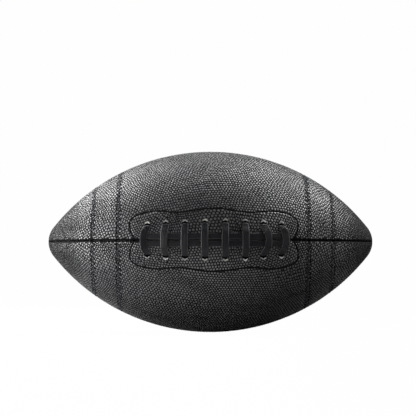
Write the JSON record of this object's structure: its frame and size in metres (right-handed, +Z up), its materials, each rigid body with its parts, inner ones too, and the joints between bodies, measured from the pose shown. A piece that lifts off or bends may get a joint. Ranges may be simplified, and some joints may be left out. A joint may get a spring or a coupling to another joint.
{
  "type": "american football",
  "caption": "Laced american football: pebbled cover panels sewn over a lining and bladder, with stripe bands, lace facings and a valve plug.",
  "frame": {"origin": "the ball's centre, on its long axis halfway between the noses", "axes": "+X along the long axis toward the right-hand nose, -Y out through the lacing, +Z up, square to the lacing's seam"},
  "size_m": [0.2798, 0.1588, 0.1554],
  "materials": {
    "cover": "pebbled composite leather, satin",
    "stripe": "pebbled composite leather, satin",
    "facing": "pebbled composite leather, satin",
    "lining": "woven, matte",
    "tongue": "woven, matte",
    "lace": "smooth strip, slight sheen",
    "bladder": "smooth, matte",
    "valve": "moulded, matte",
    "plug": "moulded, matte",
    "thread": "twisted thread",
    "seam_thread": "twisted cord"
  },
  "bodies": {
    "ball": {"panel_front_upper": "cover", "panel_front_lower": "cover", "panel_back_upper": "cover", "panel_back_lower": "cover", "stripe_left_upper": "stripe", "stripe_left_lower": "stripe", "stripe_right_upper": "stripe", "stripe_right_lower": "stripe", "lace_facing_upper": "facing", "lace_facing_lower": "facing", "lining_front_upper": "lining", "lining_front_lower": "lining", "lining_back_upper": "lining", "lining_back_lower": "lining", "lace_tongue": "tongue", "lace": "lace", "bladder": "bladder", "valve_neck": "valve", "stripe_thread_left_upper_inner": "thread", "stripe_thread_left_upper_outer": "thread", "stripe_thread_left_lower_inner": "thread", "stripe_thread_left_lower_outer": "thread", "stripe_thread_right_upper_inner": "thread", "stripe_thread_right_upper_outer": "thread", "stripe_thread_right_lower_inner": "thread", "stripe_thread_right_lower_outer": "thread", "seam_thread_top": "seam_thread", "seam_thread_back": "seam_thread", "seam_thread_bottom": "seam_thread", "seam_thread_front_left": "seam_thread", "seam_thread_front_right": "seam_thread"},
    "plug": {"valve_plug": "plug"}
  },
  "joints": [
    {"name": "valve_plug_pull", "type": "slide", "parent": "ball", "child": "plug", "axis": [0, 0.7071, 0.7071], "range_m": [0, 0.012]}
  ]
}
